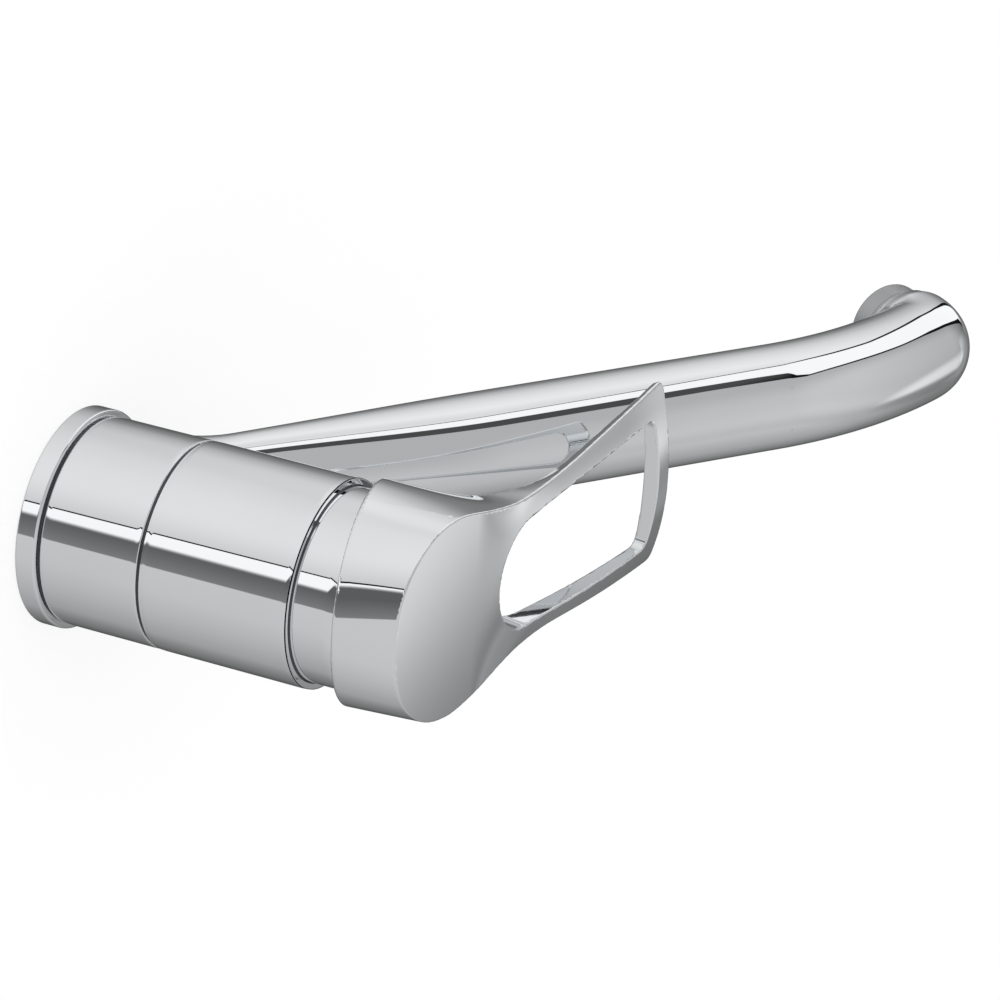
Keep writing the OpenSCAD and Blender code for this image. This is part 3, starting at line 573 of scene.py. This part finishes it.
class Nodes:
    """Short ways to add nodes to a tree."""

    def __init__(self, tree):
        self.tree = tree
        tree.nodes.clear()

    def add(self, kind, **inputs):
        node = self.tree.nodes.new(kind)
        for key, value in inputs.items():
            self.feed(node.inputs[key], value)
        return node

    def feed(self, socket, value):
        if isinstance(value, bpy.types.NodeSocket):
            self.tree.links.new(value, socket)
        else:
            socket.default_value = value

    def math(self, op, *values):
        node = self.tree.nodes.new("ShaderNodeMath")
        node.operation = op
        for socket, value in zip(node.inputs, values):
            self.feed(socket, value)
        return node.outputs[0]

    def plus(self, a, b):
        return self.math("ADD", a, b)

    def minus(self, a, b):
        return self.math("SUBTRACT", a, b)

    def times(self, a, b):
        return self.math("MULTIPLY", a, b)

    def absolute(self, a):
        return self.math("ABSOLUTE", a)

    def mix(self, a, b, t):
        return self.plus(self.times(a, self.minus(1.0, t)), self.times(b, t))

    def dot(self, a, vector):
        node = self.tree.nodes.new("ShaderNodeVectorMath")
        node.operation = "DOT_PRODUCT"
        self.feed(node.inputs[0], a)
        node.inputs[1].default_value = tuple(vector)
        return node.outputs["Value"]

    def ramp(self, value, low, high, a=0.0, b=1.0, smooth=True):
        """From a to b as a value goes from low to high."""
        node = self.add("ShaderNodeMapRange", Value=value)
        node.interpolation_type = "SMOOTHSTEP" if smooth else "LINEAR"
        for key, v in (("From Min", low), ("From Max", high), ("To Min", a), ("To Max", b)):
            self.feed(node.inputs[key], v)
        return node.outputs["Result"]

    def past(self, value, half_width):
        """From 0 to 1 as a value passes zero."""
        return self.ramp(value, self.times(half_width, -1.0), half_width)

    def curves(self, value, low, high, stops):
        """Colours over low to high, straight between stops of (place, red, green, blue)."""
        node = self.add("ShaderNodeValToRGB", Fac=self.ramp(value, low, high, smooth=False))
        elements = node.color_ramp.elements
        while len(elements) < len(stops):
            elements.new(0.5)
        for element, (at, *colour) in zip(elements, stops):
            element.position = (at - low) / (high - low)
            element.color = shade(colour)
        return node.outputs["Color"]

    def noise(self, vector, scale, detail):
        node = self.add("ShaderNodeTexNoise", Vector=vector, Scale=scale, Detail=detail)
        return node.outputs["Fac"]

    def seen(self, path):
        """1 where the camera looks, directly or through glass."""
        return self.math("MAXIMUM", path.outputs["Is Camera Ray"], path.outputs["Is Transmission Ray"])

    def choose(self, fac, first, second):
        node = self.add("ShaderNodeMixShader", Fac=fac)
        self.feed(node.inputs[1], first.outputs[0])
        self.feed(node.inputs[2], second.outputs[0])
        return node

    def surface(self, kind, shader):
        self.feed(self.add(kind).inputs["Surface"], shader.outputs[0])


def shade(colour):
    return tuple(colour) + (1.0,)


CLOUD_SCALE, STREAK_SCALE = 22, 4200


def tinted(n, cloudy, colour, tint):
    """A colour that goes a little darker and lighter with the clouds."""
    mix = n.add("ShaderNodeMix")
    mix.data_type = "RGBA"
    n.feed(mix.inputs["Factor"], n.ramp(cloudy, 0.3, 0.7))
    darker, lighter = [i for i in mix.inputs if i.type == "RGBA"]
    darker.default_value = shade(c * (1 - tint) for c in colour)
    lighter.default_value = shade(min(1, c * (1 + tint)) for c in colour)
    return [o for o in mix.outputs if o.type == "RGBA"][0]


def material(name, colour, metallic, rough, smudge, tint, grain, bump=1e-5, streak=None):
    """A finish with uneven gloss and colour and a fine surface.

    smudge and tint are how far the gloss and the colour vary, grain and bump are the fine surface's scale
    and its depth in metres, and streak is the axis of its turning marks.
    """
    mat = bpy.data.materials.new(name)
    mat.use_nodes = True
    n = Nodes(mat.node_tree)
    place = n.add("ShaderNodeTexCoord").outputs["Object"]
    cloudy = n.noise(place, CLOUD_SCALE, 4)
    fine = n.noise(place, grain, 2)
    if streak is not None:
        marks = n.add("ShaderNodeTexNoise")
        marks.noise_dimensions = "1D"
        n.feed(marks.inputs["W"], n.times(n.dot(place, streak), STREAK_SCALE))
        fine = n.plus(n.times(fine, 0.3), n.times(marks.outputs["Fac"], 0.7))
    gloss = n.plus(n.times(cloudy, 0.6), n.times(fine, 0.4))
    relief = n.add("ShaderNodeBump", Height=fine, Strength=1.0, Distance=bump)
    shader = n.add("ShaderNodeBsdfPrincipled", Metallic=metallic, Normal=relief.outputs["Normal"])
    n.feed(shader.inputs["Base Color"], tinted(n, cloudy, colour, tint))
    n.feed(shader.inputs["Roughness"], n.ramp(gloss, 0.25, 0.75, max(rough - smudge, 0.01), rough + smudge))
    n.surface("ShaderNodeOutputMaterial", shader)
    return mat


def make_materials():
    """One material for each of the pack's slots."""
    return {
        "chrome": material("polished_chrome", (0.87, 0.885, 0.90), 1, 0.022, 0.01, 0.012, 500, bump=4e-7),
        "aerator_chrome": material("satin_chrome", (0.47, 0.48, 0.49), 1, 0.34, 0.05, 0.04, 1500,
                                   streak=NOZZLE_WAY),
        "brass": material("turned_brass", (0.72, 0.52, 0.25), 1, 0.30, 0.06, 0.05, 1200, streak=(0, 0, 1)),
        "steel": material("plain_steel", (0.62, 0.61, 0.60), 1, 0.28, 0.06, 0.03, 1500),
        # dark steel for the dark steel parts, and also the painted shade of the dark rings in the grooves
        "steel_dark": material("blackened_steel_and_groove_shade", (0.10, 0.10, 0.11), 1, 0.42, 0.06, 0.08, 1500),
        "white_plastic": material("white_acetal", (0.80, 0.80, 0.78), 0, 0.42, 0.05, 0.02, 1800),
        "grey_plastic": material("grey_acetal", (0.33, 0.34, 0.35), 0, 0.45, 0.05, 0.04, 1800),
        "ceramic": material("lapped_alumina", (0.86, 0.85, 0.80), 0, 0.16, 0.04, 0.015, 2500, bump=3e-6),
        "rubber": material("black_rubber", (0.035, 0.035, 0.036), 0, 0.62, 0.06, 0.1, 1600, bump=3e-5),
    }


# Camera: the photograph's view, with the tap rolled on its side. Its right, up and back ways are the columns
CAMERA_AT = (-0.82653, 0.45994, 0.47418)
CAMERA_AXES = (
    (0.42598, 0.36724, -0.82685),
    (0.05424, 0.90190, 0.42852),
    (0.90310, -0.22739, 0.36427),
)
CAMERA_LENS, SENSOR_W = 160.25, 36


def make_camera():
    data = bpy.data.cameras.new("camera")
    data.lens, data.sensor_width = CAMERA_LENS, SENSOR_W
    data.clip_start, data.clip_end = 0.05, 50
    cam = bpy.data.objects.new("camera", data)
    bpy.context.scene.collection.objects.link(cam)
    cam.matrix_world = Matrix.Translation(CAMERA_AT) @ Matrix(CAMERA_AXES).to_4x4()
    bpy.context.scene.camera = cam


# Studio

# The room has two panels, each with a dark line, a bright strip and a dark strip side by side, as the chrome
# in the photograph shows them. Places in the room are in degrees along and across the great circle that runs
# from BODY_LINE to SPOUT_LINE, and tones are those that the chrome shows, from 0 to 255.
BODY_LINE = (-0.7668, 0.4792, -0.4271)
SPOUT_LINE = (0.3873, 0.8969, 0.2162)
LINE_TONE, BRIGHT_TONE = 22.0, 249.0
# The spout's panel, along and then across: the starts of its bright and dark strips, and the dark one's end
SPOUT_PANEL = [(80, 8, 18, 29), (87, 5, 17.5, 29), (88.8, 4, 16.6, 29), (89.8, 2.4, 17, 28), (92, -1, 25, 30),
               (95, -4, 27, 30), (98.5, -6.5, 22, 25), (103, -10, 17, 20), (107, -17, 13.5, 16.5),
               (111, -24, 9.5, 12.5), (115, -26, 3, 7), (119, -27.5, 0.5, 5), (124, -28.5, -3, 1.5),
               (139, -32, -14, -10), (150, -34, -23, -18)]
PANEL_FROM, PANEL_TO, PANEL_HALF = 70, 150, 40
# Ends of the body's bright and dark strips
BODY_BRIGHT, BODY_DARK = 12.0, 32.0
# Tones from behind the tap, at -1, to the camera's side: of the room, and of what lies past the panels
ROOM_TONES = [(-1, 85), (-0.94, 97), (-0.9, 117), (-0.8, 130), (-0.55, 149), (-0.28, 168), (-0.1, 176),
              (0.3, 186), (1, 192)]
PLAIN_TONES = [(-1, 62), (-0.92, 88), (-0.86, 105), (-0.8, 112), (-0.55, 147), (-0.47, 151), (-0.17, 166),
               (0.0, 173), (0.3, 184), (0.6, 187)]
# Middles of the soft lights over the lever's face and its loop, and the way that each gets stronger
FACE_LIGHT, FACE_LIGHT_WAY = (0.639, -0.4285, 0.639), (-0.12, 0.77, 0.63)
LOOP_LIGHT, LOOP_LIGHT_WAY, LOOP_LIFT = (0.813, -0.2625, 0.52), (0.62, 0, -0.78), 30.0
# Chrome's own tone, by which a tone is divided, and the room's strength for things that don't mirror it
CHROME_TONE, DULL_STRENGTH = 0.9, 0.8
ROOM_COLOUR = (0.996, 1.0, 1.0)
WHITE = (1.0, 1.0, 1.0)


def circle_axes():
    """The circle's start, the way it goes from there, and its pole."""
    start = np.array(BODY_LINE)
    pole = np.cross(SPOUT_LINE, start)
    pole /= np.linalg.norm(pole)
    return start, np.cross(start, pole), pole


def spout_panel(n, along, across):
    """The panel's dark line, how far its three edges are passed, its dark tone, and where it shows."""
    turned = n.absolute(along)
    stops = [(at, *((edge + PANEL_HALF) / (2 * PANEL_HALF) for edge in edges)) for at, *edges in SPOUT_PANEL]
    curves = n.curves(turned, PANEL_FROM, PANEL_TO, stops)
    split = n.add("ShaderNodeSeparateColor", Color=curves)
    start, edge, end = (n.minus(across, n.math("MULTIPLY_ADD", share, 2.0 * PANEL_HALF, -PANEL_HALF))
                        for share in split.outputs)
    line_from, line_to = n.ramp(along, 90, 100, 0.35, 1.0), n.ramp(along, 90, 100, 0.6, 1.5)
    line = n.ramp(n.absolute(start), line_from, line_to, 1, 0)
    past = [n.past(start, 0.3), n.past(edge, 0.3), n.past(end, n.ramp(turned, 150, 170, 0.3, 14))]
    dark = n.ramp(along, 89.5, 91.5, 74, 24)
    where = n.times(n.ramp(along, 66, 76), n.ramp(along, 157, 153))
    return line, past, dark, where


def body_panel(n, along, across, from_start):
    """The same for the body's panel, which the cap shows without its bright strip."""
    back = n.times(along, -1.0)
    start = n.minus(n.times(n.ramp(across, -3, 3, -4, 4, smooth=False), 0.7), along)
    edge = n.minus(back, n.ramp(across, 5, 17, BODY_BRIGHT, 0.8))
    end = n.minus(back, BODY_DARK)
    line = n.ramp(n.absolute(start), 0.5, 0.95, 1, 0)
    past = [n.past(start, 0.3), n.past(edge, 2.2), n.past(end, 0.6)]
    dark = n.ramp(back, BODY_BRIGHT, BODY_DARK, 92, 122, smooth=False)
    where = n.times(n.ramp(from_start, 0.1, 0.3), n.ramp(n.absolute(across), 44, 34))
    return line, past, dark, where


def tones(n, toward, stops):
    """Tones straight between stops of (how far a way turns to the camera's side, tone)."""
    levels = n.curves(toward, -1, 1, [(at, *(level / 255,) * 3) for at, level in stops])
    return n.times(levels, 255)


def room_tone(n, toward, above, aside):
    """The room without its panels: dim behind the tap, and pale above it and on the camera's side."""
    lift = n.times(n.ramp(above, -0.1, 0.7, 0, 36), n.ramp(toward, -0.95, -0.45))
    behind = n.times(n.ramp(toward, -0.9, -0.7), n.ramp(toward, 0.2, -0.1))
    side = n.times(n.ramp(aside, -0.15, 0.02, 0, 22), behind)
    return n.plus(n.plus(tones(n, toward, ROOM_TONES), lift), side)


def with_panel(n, level, panel):
    """A tone with a panel's strips and then its dark line laid over it."""
    line, past, dark, where = panel
    shown = n.times(n.times(past[0], n.minus(1.0, past[2])), where)
    level = n.mix(level, n.mix(BRIGHT_TONE, dark, past[1]), shown)
    return n.mix(level, LINE_TONE, n.times(line, where))


def mirrored_tone(n, way, right, up, back):
    """The tone that the chrome shows where it mirrors each way of the room."""
    start, ahead, pole = circle_axes()
    from_start, onward = n.dot(way, start), n.dot(way, ahead)
    across = n.times(n.math("ARCSINE", n.dot(way, pole)), math.degrees(1))
    along = n.times(n.math("ARCTAN2", onward, from_start), math.degrees(1))
    by_spout, by_body = spout_panel(n, along, across), body_panel(n, along, across, from_start)

    toward, above, aside = n.dot(way, back), n.dot(way, up), n.dot(way, right)
    room = room_tone(n, toward, above, aside)
    plain = n.plus(tones(n, toward, PLAIN_TONES), n.ramp(onward, 0.34, -0.34, -12, 8))
    past_spout = n.times(by_spout[1][2], n.ramp(onward, -0.64, -0.17))
    past_body = n.times(by_body[1][2], n.times(n.ramp(along, 20, -20), n.ramp(along, -178, -130)))
    level = n.mix(room, plain, n.math("MAXIMUM", past_spout, past_body))
    level = n.plus(level, n.ramp(aside, 0.72, 0.9, 0, 22))

    over_face = n.ramp(n.dot(way, FACE_LIGHT), 0.93, 0.985)
    level = n.plus(level, n.times(over_face, n.ramp(n.dot(way, FACE_LIGHT_WAY), -0.10, 0.06, -22, 46)))
    over_loop = n.ramp(n.dot(way, LOOP_LIGHT), 0.92, 0.975)
    over_loop = n.times(over_loop, n.ramp(n.dot(way, LOOP_LIGHT_WAY), -0.03, 0.05))
    level = n.plus(level, n.times(over_loop, LOOP_LIFT))
    return with_panel(n, with_panel(n, level, by_spout), by_body)


def make_world(axes):
    """White to the camera and through glass, the pale room in reflections, and an even light on the rest."""
    world = bpy.data.worlds.new("studio")
    bpy.context.scene.world = world
    world.use_nodes = True
    n = Nodes(world.node_tree)
    level = mirrored_tone(n, n.add("ShaderNodeTexCoord").outputs["Generated"], *axes)
    level = n.math("DIVIDE", n.math("POWER", n.math("DIVIDE", level, 255.0), 2.2), CHROME_TONE)
    path = n.add("ShaderNodeLightPath")
    seen = n.seen(path)
    strength = n.mix(n.mix(DULL_STRENGTH, level, path.outputs["Is Glossy Ray"]), 1.0, seen)
    room = n.add("ShaderNodeBackground", Color=shade(ROOM_COLOUR), Strength=strength)
    ground = n.add("ShaderNodeBackground", Color=shade(WHITE), Strength=1.0)
    n.surface("ShaderNodeOutputWorld", n.choose(seen, room, ground))
    world.cycles.sampling_method = "NONE"


# Floor: its half-width, how far it lies below the base ring in metres, and its own glow and grey
FLOOR_HALF, FLOOR_DROP = 6000, 0.0002
FLOOR_GLOW, FLOOR_GREY = 0.72, (0.34, 0.34, 0.34)


def make_floor():
    """A wide pale floor: white to the camera apart from the tap's own shadow, clear to reflections."""
    corners = [(x * FLOOR_HALF, y * FLOOR_HALF, 0) for x, y in ((-1, -1), (1, -1), (1, 1), (-1, 1))]
    floor = add_mesh("floor", corners, [(0, 1, 2, 3)])
    floor.location.z = -FLOOR_DROP
    mat = bpy.data.materials.new("pale_floor")
    mat.use_nodes = True
    n = Nodes(mat.node_tree)
    path = n.add("ShaderNodeLightPath")
    glow = n.add("ShaderNodeEmission", Color=shade(WHITE), Strength=n.times(n.seen(path), FLOOR_GLOW))
    cloth = n.add("ShaderNodeBsdfDiffuse", Color=shade(FLOOR_GREY))
    both = n.add("ShaderNodeAddShader")
    n.feed(both.inputs[0], glow.outputs[0])
    n.feed(both.inputs[1], cloth.outputs[0])
    clear = n.add("ShaderNodeBsdfTransparent")
    n.surface("ShaderNodeOutputMaterial", n.choose(path.outputs["Is Glossy Ray"], both, clear))
    floor.data.materials.append(mat)


# Softbox: width and places in metres, power in watts
SOFTBOX_W, SOFTBOX_POWER = 1.2, 2.2
SOFTBOX_AT, SOFTBOX_AIM = (-0.5, 0.5, 1.2), (0.08, 0, 0.06)


def make_light():
    data = bpy.data.lights.new("softbox", "AREA")
    data.shape, data.size, data.energy = "SQUARE", SOFTBOX_W, SOFTBOX_POWER
    lamp = bpy.data.objects.new("softbox", data)
    bpy.context.scene.collection.objects.link(lamp)
    lamp.location = SOFTBOX_AT
    lamp.rotation_euler = (Vector(SOFTBOX_AT) - Vector(SOFTBOX_AIM)).to_track_quat("Z", "Y").to_euler()
    lamp.visible_glossy = False
    lamp.visible_camera = False


make_camera()
bpy.context.scene.view_settings.view_transform = "Standard"
make_world(np.transpose(CAMERA_AXES))
make_floor()
make_light()

SOLIDS = [o for o in bpy.data.objects if o.type == "MESH" and o.parent]
make_spout()
make_lever()
make_base_ring()
make_sleeve()
make_groove_shade_rings()
make_collar()
make_aerator()

FINISH = make_materials()
for solid in SOLIDS:
    for slot in solid.material_slots:
        slot.material = FINISH[slot.material.name.split(".")[0]]
PIECES = {
    "chrome": ("spout_casting", "lever_casting", "base_ring_turned", "housing_sleeve", "collar_turned"),
    "aerator_chrome": ("aerator_turned",),
    # the dark rings in the grooves: painted shade for the gaps between the rings
    "steel_dark": ("base_groove", "housing_groove", "collar_groove"),
}
for finish, names in PIECES.items():
    for name in names:
        bpy.data.objects[name].data.materials.append(FINISH[finish])
